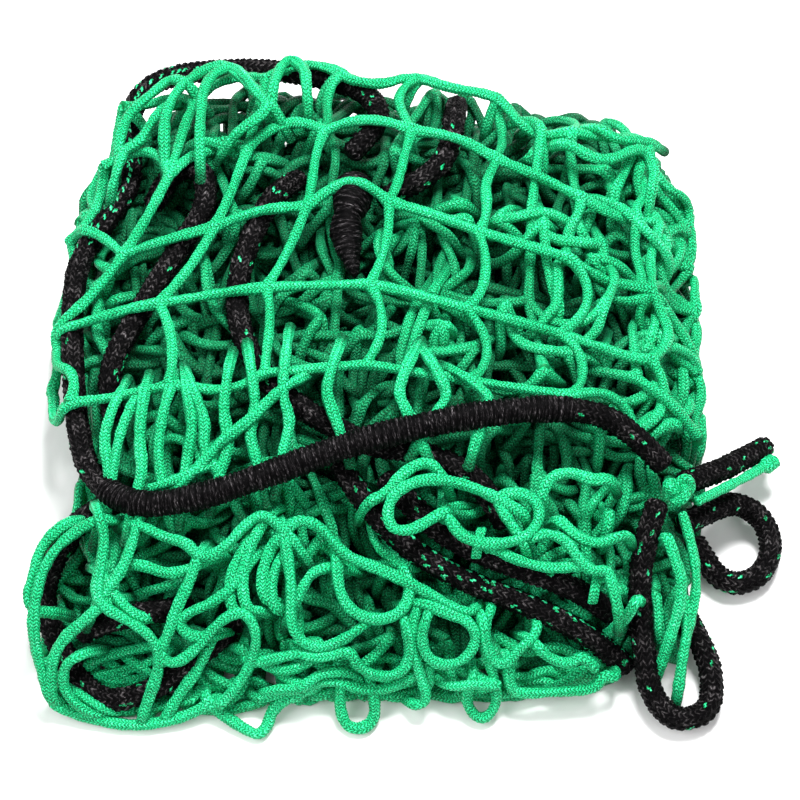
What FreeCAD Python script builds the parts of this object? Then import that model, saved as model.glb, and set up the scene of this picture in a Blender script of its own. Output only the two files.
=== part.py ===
import FreeCAD, Part
import math
import os

# A cargo net folded into a loose bundle that lies on a flat surface.
# Millimetres, +Z up, origin under the middle of the folded net, on that surface.

# ---- driving dimensions ----
BUNDLE_WIDTH = 306.0      # X, across the folded net
BUNDLE_DEPTH = 322.0      # Y, from the gathered front to the back edge
CORD_WIDTH = 5.0          # knitted cord of the net
ROPE_DIAMETER = 11.0      # border rope over its knitted cover
WHIPPING_THICKNESS = 0.9  # twine wound round the rope
SPLICE_DIAMETER = 20.0    # whipped lump where two rope stretches are joined
TIE_DIAMETER = 5.0        # green cord that ties the corner
TIE_KNOT_DIAMETER = 17.0
CLEARANCE = 0.3           # between a soft solid and what lies on it

# Each fold of the net: lowest z, highest z, and how far it stays inside the bundle's
# outline at the left, right, front and back.
FOLDS = {
    "net_fold_base": (0.0, 25.0, 0.0, 0.0, 0.0, 0.0),
    "net_fold_lower": (25.0, 46.0, 10.0, 8.0, 32.0, 4.0),
    "net_fold_middle": (46.0, 61.0, 30.0, 28.0, 74.0, 10.0),
    "net_fold_upper": (61.0, 74.0, 78.0, 70.0, 92.0, 10.0),
}
FOLD_CORNER_RADIUS = 26.0
FOLD_EDGE_RADIUS = 5.0

# The single layer of open meshes that is draped over the bundle's top, as (x, z) along its underside.
DRAPE_LINE = [(-153, 49), (-124, 61.5), (-102, 63), (-78, 75), (86, 75), (104, 64), (127, 61.5), (153, 46)]
DRAPE_FRONT = -22.0
DRAPE_BACK = 150.0

# Rope and tie routes, hand-placed on the folded net, from end to end.
ROUTES = {
    "rope_front_run": [
        (-138, 74, 49), (-146, 59, 50), (-147, 32, 50), (-145, 2, 49), (-141, -30, 49), (-134, -58, 52),
        (-112, -79, 60), (-80, -78, 68), (-48, -68, 73), (-16, -57, 78), (18, -48, 81), (54, -41, 82),
        (90, -36, 77), (116, -40, 68), (134, -57, 56)],
    "rope_under_run": [
        (-22, -40, 68), (-4, -51, 67), (14, -52, 66), (36, -58, 64), (52, -70, 58), (60, -83, 47)],
    "rope_lower_left": [
        (-117, -63, 38), (-130, -71, 43), (-143, -80, 36), (-152, -95, 28), (-155, -110, 21),
        (-150, -123, 15), (-143, -134, 11)],
    "rope_bottom_left": [
        (-143, -134, 11), (-136, -145, 7), (-124, -153, 7), (-107, -151, 11), (-90, -142, 17),
        (-74, -130, 24), (-64, -118, 22)],
    "rope_left_inner": [
        (-136, -124, 18), (-130, -124, 28), (-118, -123, 35), (-105, -121, 36), (-94, -117, 31),
        (-86, -112, 22)],
    "rope_diagonal_lower": [
        (-18, -56, 62), (-5, -76, 57), (14, -94, 49), (41, -108, 42), (70, -117, 36), (92, -126, 30),
        (106, -132, 20), (117, -137, 8)],
    "rope_diagonal_upper": [
        (3, -62, 60), (16, -76, 56), (34, -91, 51), (58, -101, 48), (81, -108, 45), (99, -114, 37),
        (110, -117, 24)],
    "rope_right_side": [
        (131, -68, 46), (124, -86, 40), (121, -110, 31), (123, -133, 21), (126, -151, 12), (137, -163, 7),
        (154, -158, 7), (156, -140, 9), (150, -123, 12), (143, -107, 9)],
    "rope_corner_eye": [
        (141, -76, 32), (155, -66, 27), (170, -56, 19), (184, -60, 11), (189, -75, 8), (182, -90, 7),
        (168, -95, 7), (157, -87, 10), (149, -75, 18)],
    "rope_tail": [(141, -60, 46), (156, -52, 38), (173, -38, 26), (189, -24, 14)],
    "rope_top_left": [
        (-84, 169, 54), (-102, 169, 52), (-119, 161, 50), (-126, 145, 47), (-124, 126, 46),
        (-122, 107, 47), (-130, 89, 48), (-138, 74, 49)],
    "rope_back_edge": [
        (-14, 106, 70), (-5, 117, 72), (2, 130, 70), (-4, 146, 66), (-20, 158, 60), (-42, 165, 58),
        (-66, 169, 56), (-84, 169, 54)],
    "rope_upper_bight": [
        (-112, 92, 44), (-102, 107, 61), (-84, 102, 65), (-83, 81, 64), (-95, 60, 62), (-106, 40, 60),
        (-115, 20, 60), (-124, 2, 58), (-127, -14, 53), (-124, -26, 43)],
    "rope_inside_right": [
        (40, 150, 52), (38, 138, 62), (37, 122, 67), (34, 106, 70), (25, 94, 71), (12, 88, 69),
        (1, 86, 60)],
    "rope_inner_run": [
        (-38, 101, 58), (-48, 86, 72), (-58, 66, 72), (-66, 40, 70), (-66, 14, 69), (-56, -12, 69),
        (-40, -29, 69), (-22, -40, 68)],
    "tie_long_strand": [(141, -75, 48), (146, -90, 42), (148, -107, 34), (144, -124, 26), (139, -139, 18)],
    "tie_tail_strand": [(148, -69, 45), (161, -59, 37), (178, -45, 25), (191, -33, 16)],
}
SPLICE_ROUTE = [(-15, 92, 76), (-13, 66, 76), (-14, 36, 76)]
WHIPPED_POINTS = (6, 13)             # from which to which point of the front run the twine is wound
TIE_KNOT_CENTRE = (140, -66, 53)
LACING_PLACES = {"tie_lacing_left": (47, -94, 57), "tie_lacing_right": (100, -112, 47)}
LACING_SIZE = (4.5, 14.0, 2.5)
ARC_SHARE = 0.45                     # part of the shorter run that an arc's tangent takes


def vector(point):
    return FreeCAD.Vector(*point)


def corner_arc(before, corner, after):
    """The two tangent points and the radius of the arc that rounds one corner of a route."""
    back = before - corner
    ahead = after - corner
    tangent = ARC_SHARE * min(back.Length, ahead.Length)
    half_turn = (math.pi - back.getAngle(ahead)) / 2
    start = corner + back.normalize() * tangent
    end = corner + ahead.normalize() * tangent
    radius = tangent / math.tan(half_turn)
    bisector = (back + ahead).normalize()
    middle = corner + bisector * (radius / math.cos(half_turn) - radius)
    return start, middle, end, radius


def route_wire(points):
    """Straight runs joined by tangent arcs, and the radii of those arcs."""
    corners = [vector(p) for p in points]
    edges = []
    radii = []
    position = corners[0]
    for before, corner, after in zip(corners, corners[1:], corners[2:]):
        start, middle, end, radius = corner_arc(before, corner, after)
        edges.append(Part.LineSegment(position, start).toShape())
        edges.append(Part.Arc(start, middle, end).toShape())
        radii.append(radius)
        position = end
    edges.append(Part.LineSegment(position, corners[-1]).toShape())
    return Part.Wire(edges), radii


def tube(wire, diameter):
    """A round tube along a wire."""
    first = wire.Edges[0]
    start = first.valueAt(first.FirstParameter)
    direction = first.tangentAt(first.FirstParameter)
    circle = Part.Wire([Part.makeCircle(diameter / 2, start, direction)])
    return wire.makePipeShell([circle], True, False)


def report_tube(name, wire, radii, diameter, solid):
    expected = math.pi * diameter ** 2 / 4 * wire.Length
    tightest = min(radii) if radii else 0.0
    print(f"{name}: length {wire.Length:.0f}, tightest radius {tightest:.1f}, "
          f"volume / (section x length) {solid.Volume / expected:.3f}, valid {solid.isValid()}")
    print("   radii", [round(r) for r in radii])


def route_diameter(name):
    return TIE_DIAMETER if name.startswith("tie") else ROPE_DIAMETER


def make_cords():
    """Every rope and tie stretch, with a slightly fatter copy that makes room for it in the folds."""
    cords = {}
    grooves = []
    for name, points in ROUTES.items():
        diameter = route_diameter(name)
        wire, radii = route_wire(points)
        cords[name] = tube(wire, diameter)
        report_tube(name, wire, radii, diameter, cords[name])
        grooves.append(tube(wire, diameter + 2 * CLEARANCE))
    return cords, grooves


def make_whipping():
    """The sleeve of wound twine round the middle of the front run, face to face with the rope."""
    first, last = WHIPPED_POINTS
    whole, _ = route_wire(ROUTES["rope_front_run"])
    inner_edges = whole.Edges[2 * first:2 * last - 1]
    part = Part.Wire(inner_edges)
    outer = tube(part, ROPE_DIAMETER + 2 * WHIPPING_THICKNESS)
    groove = tube(part, ROPE_DIAMETER + 2 * WHIPPING_THICKNESS + 2 * CLEARANCE)
    return outer.cut(tube(part, ROPE_DIAMETER)), groove


def make_splice():
    wire, radii = route_wire(SPLICE_ROUTE)
    solid = tube(wire, SPLICE_DIAMETER)
    report_tube("rope_splice", wire, radii, SPLICE_DIAMETER, solid)
    return solid, tube(wire, SPLICE_DIAMETER + 2 * CLEARANCE)


def make_fold(low, high, left, right, front, back):
    """One folded layer of the net, a slab with round corners and edges."""
    width = BUNDLE_WIDTH - left - right
    depth = BUNDLE_DEPTH - front - back
    corner = FreeCAD.Vector(left - BUNDLE_WIDTH / 2, front - BUNDLE_DEPTH / 2, low)
    height = high - low - (CLEARANCE if low > 0 else 0)
    base = corner + FreeCAD.Vector(0, 0, CLEARANCE if low > 0 else 0)
    slab = Part.makeBox(width, depth, height, base)
    upright = [e for e in slab.Edges if abs(e.tangentAt(e.FirstParameter).z) > 0.99]
    slab = slab.makeFillet(FOLD_CORNER_RADIUS, upright)
    rim = [e for e in slab.Edges if e.BoundBox.ZMin > high - 0.01]
    return slab.makeFillet(FOLD_EDGE_RADIUS, rim)


def make_drape():
    """The draped layer: the drape line, one cord thick, drawn out from front to back."""
    under = [FreeCAD.Vector(x, DRAPE_FRONT, z) for x, z in DRAPE_LINE]
    over = [p + FreeCAD.Vector(0, 0, CORD_WIDTH) for p in reversed(under)]
    outline = under + over
    face = Part.Face(Part.makePolygon(outline + outline[:1]))
    return face.extrude(FreeCAD.Vector(0, DRAPE_BACK - DRAPE_FRONT, 0))


def make_tie_knot(growth=0.0):
    return Part.makeSphere(TIE_KNOT_DIAMETER / 2 + growth, vector(TIE_KNOT_CENTRE))


def make_lacing(place):
    """One flat knitted tab that holds the net to the rope."""
    width, length, thickness = LACING_SIZE
    corner = vector(place) - FreeCAD.Vector(width / 2, length / 2, 0)
    tab = Part.makeBox(width, length, thickness, corner)
    return tab.makeFillet(thickness * 0.4, tab.Edges)


def make_room(solid, grooves):
    """Cut away from a fold what lies on or in it."""
    near = [g for g in grooves if g.BoundBox.intersect(solid.BoundBox)]
    for groove in near:
        solid = solid.cut(groove)
    return max(solid.Solids, key=lambda piece: piece.Volume)


def main():
    os.makedirs("parts", exist_ok=True)
    nodes, grooves = make_cords()
    nodes["rope_whipping"], whipping_groove = make_whipping()
    nodes["rope_splice"], splice_groove = make_splice()
    nodes["tie_corner_knot"] = make_room(make_tie_knot(), grooves)
    for name, place in LACING_PLACES.items():
        nodes[name] = make_lacing(place)
    grooves += [whipping_groove, splice_groove, make_tie_knot(CLEARANCE)]
    for name, sizes in FOLDS.items():
        nodes[name] = make_room(make_fold(*sizes), grooves)
    nodes["net_top_drape"] = make_room(make_drape(), grooves)
    for name, shape in nodes.items():
        shape.exportStep(f"parts/{name}.step")
        box = shape.BoundBox
        print(f"{name}: valid {shape.isValid()}, solids {len(shape.Solids)}, "
              f"x {box.XMin:.0f}..{box.XMax:.0f} y {box.YMin:.0f}..{box.YMax:.0f} "
              f"z {box.ZMin:.1f}..{box.ZMax:.1f}")


main()
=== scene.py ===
import math
import bpy
import numpy as np
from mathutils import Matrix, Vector


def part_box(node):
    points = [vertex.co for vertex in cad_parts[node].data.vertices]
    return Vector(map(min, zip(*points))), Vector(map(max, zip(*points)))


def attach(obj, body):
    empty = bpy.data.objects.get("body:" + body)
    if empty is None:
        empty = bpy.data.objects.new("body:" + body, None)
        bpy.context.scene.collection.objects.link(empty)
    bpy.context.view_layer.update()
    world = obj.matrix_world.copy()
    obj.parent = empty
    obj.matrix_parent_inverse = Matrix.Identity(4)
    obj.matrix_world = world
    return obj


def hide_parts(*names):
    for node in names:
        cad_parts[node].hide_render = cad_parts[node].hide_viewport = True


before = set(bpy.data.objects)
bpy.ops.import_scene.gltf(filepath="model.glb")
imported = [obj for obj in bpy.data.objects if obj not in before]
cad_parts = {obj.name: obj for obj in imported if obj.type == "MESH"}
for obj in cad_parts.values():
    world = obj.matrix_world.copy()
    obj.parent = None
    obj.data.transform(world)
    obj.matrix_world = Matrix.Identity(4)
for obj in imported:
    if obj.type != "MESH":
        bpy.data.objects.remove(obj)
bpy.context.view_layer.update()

# A cargo net of knitted green cord with a black border rope, folded into a loose bundle.
# Metres, in the frame of the CAD model; only the tables of listed points are in millimetres.
# The net is one sheet of square meshes that is folded back and forth and let down by a small
# simulation. The ropes and the larger loops of the net's cord follow listed routes.

# ---- camera and light ----
CAMERA_TARGET = Vector((0.011, -0.010, 0.035))
CAMERA_ELEVATION = 62.0
CAMERA_DISTANCE = 1.15
CAMERA_LENS = 108.0
FLOOR_SIZE = 8.0
# azimuth and elevation in degrees, distance, width and power of each soft light
LIGHTS = [(160.0, 68.0, 1.3, 0.40, 31.0), (-70.0, 50.0, 1.3, 0.8, 9.0), (50.0, 40.0, 1.5, 0.8, 6.0)]
WORLD_STRENGTH = 0.38

# ---- border rope, whipping, splice and ties ----
ROPE_DIAMETER = 0.011
TIE_DIAMETER = 0.005
ROUTE_RESOLUTION = 24      # points that a NURBS gives for each stretch between control points
ROPE_STEP = 0.0006         # between two rings of a rope's mesh
ROPE_SIDES = 40
ROPE_WALES = 8             # columns of knitted stitches round the rope
ROPE_STITCH = 0.0031       # length of one stitch
ROPE_RELIEF = 0.0011       # height of the stitches
TWINE_WALES = 6            # repeats of the twine's pattern round the rope
TWINE_PITCH = 0.0023       # between two turns of the whipping
WHIPPING_THICKNESS = 0.0014
WHIPPED_SHARE = (0.345, 0.877)   # of the front run's length
SPLICE_DIAMETER = 0.020
SPLICE_TURN = 0.0015       # how far a turn of its twine stands out
SPLICE_PITCH = 0.0025
SPLICE_SIDES = 40
# share of the splice's length, and of its full radius there
SPLICE_SHAPE = [(0.0, 0.50), (0.08, 0.82), (0.18, 1.0), (0.30, 1.06), (0.38, 0.94), (0.45, 0.74),
                (0.53, 0.80), (0.63, 0.80), (0.76, 0.62), (0.88, 0.44), (1.0, 0.26)]

# The share of a rope's stitches that are green. A rope with more than ROW_FROM of them also has a green
# stitch in every second course of the half columns in FLECK_COLUMNS.
FLECK_COLUMNS, ROW_FROM = (2, 3, 10), 0.065
OTHER_FLECKS = 0.025
FLECKS = {"rope_corner_eye": 0.06, "rope_tail": 0.05, "rope_top_left": 0.07, "rope_diagonal_lower": 0.07,
          "rope_diagonal_upper": 0.03, "rope_back_edge": 0.05, "rope_inside_right": 0.03}
# Stretches of one rope that meet end to end aren't rounded off where they meet.
GOES_ON_FROM_ITS_START = ("rope_front_run", "rope_top_left", "rope_under_run", "rope_bottom_left")
GOES_ON_FROM_ITS_END = ("rope_top_left", "rope_back_edge", "rope_inner_run", "rope_lower_left")

# The ropes and ties, from end to end, as in the CAD model.
ROUTES = {
    "rope_front_run": [
        (-138, 74, 49), (-146, 59, 50), (-147, 32, 50), (-145, 2, 49), (-141, -30, 49), (-134, -58, 52),
        (-112, -79, 60), (-80, -78, 68), (-48, -68, 73), (-16, -57, 78), (18, -48, 81), (54, -41, 82),
        (90, -36, 77), (116, -40, 68), (134, -57, 56)],
    "rope_under_run": [
        (-22, -40, 68), (-4, -51, 67), (14, -52, 66), (36, -58, 64), (52, -70, 58), (60, -83, 47)],
    "rope_lower_left": [
        (-117, -63, 38), (-130, -71, 43), (-143, -80, 36), (-152, -95, 28), (-155, -110, 21),
        (-150, -123, 15), (-143, -134, 11)],
    "rope_bottom_left": [
        (-143, -134, 11), (-136, -145, 7), (-124, -153, 7), (-107, -151, 11), (-90, -142, 17),
        (-74, -130, 24), (-64, -118, 22)],
    "rope_left_inner": [
        (-136, -124, 18), (-130, -124, 28), (-118, -123, 35), (-105, -121, 36), (-94, -117, 31),
        (-86, -112, 22)],
    "rope_diagonal_lower": [
        (-18, -56, 62), (-5, -76, 57), (14, -94, 49), (41, -108, 42), (70, -117, 36), (92, -126, 30),
        (106, -132, 20), (117, -137, 8)],
    "rope_diagonal_upper": [
        (3, -62, 60), (16, -76, 56), (34, -91, 51), (58, -101, 48), (81, -108, 45), (99, -114, 37),
        (110, -117, 24)],
    "rope_right_side": [
        (131, -68, 46), (124, -86, 40), (121, -110, 31), (123, -133, 21), (126, -151, 12), (137, -163, 7),
        (154, -158, 7), (156, -140, 9), (150, -123, 12), (143, -107, 9)],
    "rope_corner_eye": [
        (141, -76, 32), (155, -66, 27), (170, -56, 19), (184, -60, 11), (189, -75, 8), (182, -90, 7),
        (168, -95, 7), (157, -87, 10), (149, -75, 18)],
    "rope_tail": [
        (141, -60, 46), (156, -52, 38), (173, -38, 26), (189, -24, 14)],
    "rope_top_left": [
        (-84, 169, 54), (-102, 169, 52), (-119, 161, 50), (-126, 145, 47), (-124, 126, 46),
        (-122, 107, 47), (-130, 89, 48), (-138, 74, 49)],
    "rope_back_edge": [
        (-14, 106, 70), (-5, 117, 72), (2, 130, 70), (-4, 146, 66), (-20, 158, 60), (-42, 165, 58),
        (-66, 169, 56), (-84, 169, 54)],
    "rope_upper_bight": [
        (-112, 92, 44), (-102, 107, 61), (-84, 102, 65), (-83, 81, 64), (-95, 60, 62), (-106, 40, 60),
        (-115, 20, 60), (-124, 2, 58), (-127, -14, 53), (-124, -26, 43)],
    "rope_inside_right": [
        (40, 150, 52), (38, 138, 62), (37, 122, 67), (34, 106, 70), (25, 94, 71), (12, 88, 69),
        (1, 86, 60)],
    "rope_inner_run": [
        (-38, 101, 58), (-48, 86, 72), (-58, 66, 72), (-66, 40, 70), (-66, 14, 69), (-56, -12, 69),
        (-40, -29, 69), (-22, -40, 68)],
    "tie_long_strand": [
        (141, -75, 48), (146, -90, 42), (148, -107, 34), (144, -124, 26), (139, -139, 18)],
    "tie_tail_strand": [
        (148, -69, 45), (161, -59, 37), (178, -45, 25), (191, -33, 16)],
}
SPLICE_ROUTE = [(-12, 93, 73), (-11, 77, 78), (-17, 60, 77), (-10, 36, 72)]
TIE_KNOT_CENTRE = Vector((0.140, -0.066, 0.053))
KNOT_SCALE = 0.0020        # size of one unit of the trefoil
KNOT_CORD = 0.0047
LACING_WIDTH, LACING_THICKNESS = 0.0046, 0.0022
LACING_SIDES = 20
STITCH_SLOPE = 0.75        # how far a stitch leg rises over its column, in stitches
TIE_TIPS = {"tie_long_strand": 0.55, "tie_tail_strand": 1.7}     # width at the far end, as a share

# ---- net ----
MESH_SIDE = 0.045          # from knot to knot
CELLS_ACROSS, CELLS_ALONG = 32, 46
SEGMENTS = 8               # simulated pieces of cord on each mesh side
SEGMENT = MESH_SIDE / SEGMENTS
CORD_WIDTH = 0.0050
LOOSE_WIDTH, LOOSE_STEP = 0.0053, 0.0006   # of the listed cords: width, and from ring to ring
KNOT_SWELL, KNOT_REACH = 0.24, 0.0042      # share by which the cord is thicker at a knot, and how far
SOFT_FLAT, SOFT_THICK = 0.09, 0.045        # how uneven the cord is, as shares of its radius
NET_STITCH = 0.00165
NET_WALES = 6
DRAPE_CELLS = (8, 4)       # meshes across and along that lie open on the bundle's top
PILE_SIDES, PILE_RINGS = 8, 2       # round the section, and for each simulated piece
DRAPE_SIDES, DRAPE_RINGS = 18, 10
DRAPE_RELIEF = 0.00030     # height of the stitches
# From the top down: each layer's piece, the CAD node that it replaces, and how it is held.
LAYERS = [
    ("net_drape", "net_top_drape", "draped"), ("net_under_drape", "net_fold_upper", "folded"),
    ("net_fold_1", "net_fold_upper", "folded"), ("net_fold_2", "net_fold_middle", "folded"),
    ("net_fold_3", "net_fold_lower", "folded"), ("net_fold_4", "net_fold_lower", "folded"),
    ("net_fold_5", "net_fold_base", "folded"), ("net_fold_6", "net_fold_base", "folded")]
# The CAD node that each group of loose cords lies on.
HELD_BY = {"net_front_loops": "net_fold_base", "net_rope_loops": "net_fold_lower",
           "net_gathers": "net_fold_upper", "net_back_loops": "net_top_drape",
           "net_loose_end": "net_fold_middle"}
SHADE_FROM, SHADE_DEPTH = 0.005, 0.020      # painted shade: how far below the top cords begin to darken, and over what depth

# Knots of the open meshes on top: x and y, rows from front to back.
DRAPE_KNOTS = [
    [(-155, -14), (-124, -31), (-82, -32), (-47, -16), (3, -19), (47, -29), (94, -33), (127, -34),
     (148, -27)],
    [(-153, 32), (-121, 17), (-81, 18), (-41, 33), (7, 28), (51, 12), (96, -8), (131, -5), (153, 6)],
    [(-142, 80), (-115, 68), (-75, 61), (-34, 81), (10, 78), (52, 64), (96, 39), (138, 35), (158, 38)],
    [(-126, 116), (-104, 112), (-68, 116), (-30, 124), (15, 122), (55, 106), (96, 78), (137, 71),
     (158, 76)],
    [(-113, 143), (-91, 154), (-63, 158), (-29, 160), (15, 151), (58, 136), (94, 112), (130, 115),
     (156, 107)],
]
BUNDLE_HEIGHT, BUNDLE_REACH, BUNDLE_REAR = 0.084, 0.163, 0.186
FOLD_LEFT, FOLD_RIGHT, FOLD_REAR = -0.146, 0.146, 0.166       # where the passes turn back
FRONT_SLOPE = [(-.170, .003), (-.160, .009), (-.152, .016), (-.140, .028), (-.125, .041), (-.110, .048),
               (-.090, .056), (-.070, .064), (-.045, .076), (-.020, BUNDLE_HEIGHT)]   # y and height
PASS_CELLS = (12.0, 7.6)   # meshes in one pass across and in one pass back, under the drape
DEEPER_FRONT, DEEPER_REACH = -0.080, 0.080   # the second pass's front end, and how far the last goes past it
DRAPE_FRONT = -0.022       # the front end of the first pass
FRONTMOST, FRONT_LIMIT = -0.163, -0.050      # where the other passes' front ends may lie
FRONT_WAVER, REAR_WAVER, WAVER_LENGTH = 0.010, 0.006, 0.16
CRUMPLES = [(0.012, 0.15), (0.004, 0.07)]    # how far a level under the drape shifts, and over what length
PILE_FROM, PILE_TO = (-0.152, -0.163), (0.154, 0.172)         # x and y that the unsettled sheet keeps to
BOW = 0.015                # how far a gathered mesh side bows out
LOWEST, HIGHEST = 0.0033, 0.2            # of a cord's middle
# The bundle's outline from above: x and y of its front and rear, y and x of its sides.
FRONT_EDGE = [(-.165, -.158), (-.140, -.163), (-.085, -.162), (-.045, -.151), (.075, -.149), (.100, -.143),
              (.125, -.134), (.160, -.128)]
REAR_EDGE = [(-.160, .090), (-.145, .114), (-.125, .146), (-.100, .164), (-.050, .172), (.030, .172),
             (.070, .166), (.120, .148), (.146, .120), (.160, .095)]
LEFT_EDGE = [(-.170, -.154), (-.100, -.154), (-.080, -.147), (-.068, -.139), (-.012, -.139), (.005, -.147),
             (.170, -.150)]
RIGHT_EDGE = [(-.170, .138), (-.100, .146), (-.080, .150), (-.050, .156), (.170, .157)]
DRAPE_LEFT = -.158         # the open meshes on top may hang out this far

# ---- the folded net's fall ----
STEPS = 240
GROWN, CLEARED_AGAIN, LET_GO = 0.35, 0.55, 0.80      # shares of the steps
GRAVITY = 8e-6             # fall per step
FASTEST = 0.0012           # the most that a point moves in one step
DAMPING = 0.86
BENDS, ARCHES, CHORDS = (1.97, 0.7), (3.78, 0.5), (6.6, 0.3)   # least span in pieces of cord, and strength
# from the middle of each kind of line to the side of the net's cord
TIE_CLEARANCE, ROPE_CLEARANCE, SPLICE_CLEARANCE, LOOSE_CLEARANCE = 0.0027, 0.0057, 0.0085, 0.0024
OPEN_SIDE = (0.0, -0.47, 0.88)       # the way that the ropes are seen from
# the grid round the ropes: its lowest corner, its number of cells, a cell's size, and how far a rope is felt
FIELD_CORNER, FIELD_CELLS, FIELD_CELL, FIELD_REACH = (-0.175, -0.185, -0.005), (128, 124, 37), 0.003, 0.014
PILE_SEED = 7

# ---- colours: place on the ramp, and red, green and blue ----
# The green ramp's two top stops paint highlights, glints of the filaments in pale mint; its lowest stop
# paints shade in the gaps between stitches.
GREEN_SHADES = [(0.24, (0.0007, 0.041, 0.012)), (0.42, (0.0015, 0.345, 0.106)),
                (0.56, (0.0085, 0.830, 0.318)), (0.72, (0.1150, 1.000, 0.525)),
                (0.88, (0.5200, 1.000, 0.780))]
# Painted shade: how much a net cord's colour is darkened by its depth under the bundle's top.
PAINTED_SHADE_BY_DEPTH = [(0.0, (1.0, 1.0, 1.0)), (0.40, (0.83, 0.84, 0.83)), (1.0, (0.23, 0.25, 0.24))]
# The rope's ramp: near black is its own colour; its top stops paint highlights on the strands.
ROPE_SHADES = [(0.42, (0.0008, 0.0007, 0.0009)), (0.54, (0.0042, 0.0038, 0.0042)),
               (0.64, (0.022, 0.020, 0.021)), (0.76, (0.110, 0.100, 0.103)), (0.88, (0.32, 0.30, 0.31))]
# The twine's ramp: near black is its own colour; its top stops paint highlights on the turns.
TWINE_SHADES = [(0.47, (0.0008, 0.0007, 0.0009)), (0.56, (0.0038, 0.0034, 0.0038)),
                (0.64, (0.026, 0.023, 0.025)), (0.73, (0.110, 0.100, 0.105)), (0.84, (0.34, 0.32, 0.33))]
FLOOR_SHADES = [(0.3, (0.93, 0.93, 0.93)), (0.7, (0.95, 0.95, 0.95))]

rng = np.random.default_rng(PILE_SEED)


def metres(points):
    return [tuple(value / 1000 for value in point) for point in points]


# ==== camera, floor and light ====

def direction(azimuth, elevation):
    """Unit vector towards a viewer at that azimuth and elevation, in degrees."""
    a, e = math.radians(azimuth), math.radians(elevation)
    return Vector((math.sin(a) * math.cos(e), -math.cos(a) * math.cos(e), math.sin(e)))


def add_object(name, data):
    obj = bpy.data.objects.new(name, data)
    bpy.context.scene.collection.objects.link(obj)
    return obj


def aim(obj, place):
    obj.location = place
    obj.rotation_euler = (CAMERA_TARGET - place).to_track_quat("-Z", "Y").to_euler()


def make_camera():
    data = bpy.data.cameras.new("camera")
    data.sensor_width = 36.0
    data.lens = CAMERA_LENS
    camera = add_object("camera", data)
    aim(camera, CAMERA_TARGET + CAMERA_DISTANCE * direction(0.0, CAMERA_ELEVATION))
    bpy.context.scene.camera = camera


def make_lights():
    for azimuth, elevation, distance, width, power in LIGHTS:
        data = bpy.data.lights.new("softbox", "AREA")
        data.size = width
        data.energy = power
        aim(add_object("softbox", data), CAMERA_TARGET + distance * direction(azimuth, elevation))
    world = bpy.data.worlds.new("studio")
    bpy.context.scene.world = world
    world.use_nodes = True
    background = world.node_tree.nodes["Background"]
    background.inputs["Color"].default_value = (1.0, 1.0, 1.0, 1.0)
    background.inputs["Strength"].default_value = WORLD_STRENGTH
    bpy.context.scene.view_settings.view_transform = "Standard"


def make_floor():
    half = FLOOR_SIZE / 2
    mesh = bpy.data.meshes.new("floor")
    corners = [(-half, -half, 0), (half, -half, 0), (half, half, 0), (-half, half, 0)]
    mesh.from_pydata(corners, [], [(0, 1, 2, 3)])
    floor = add_object("floor", mesh)
    floor.data.materials.append(floor_material())
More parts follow.
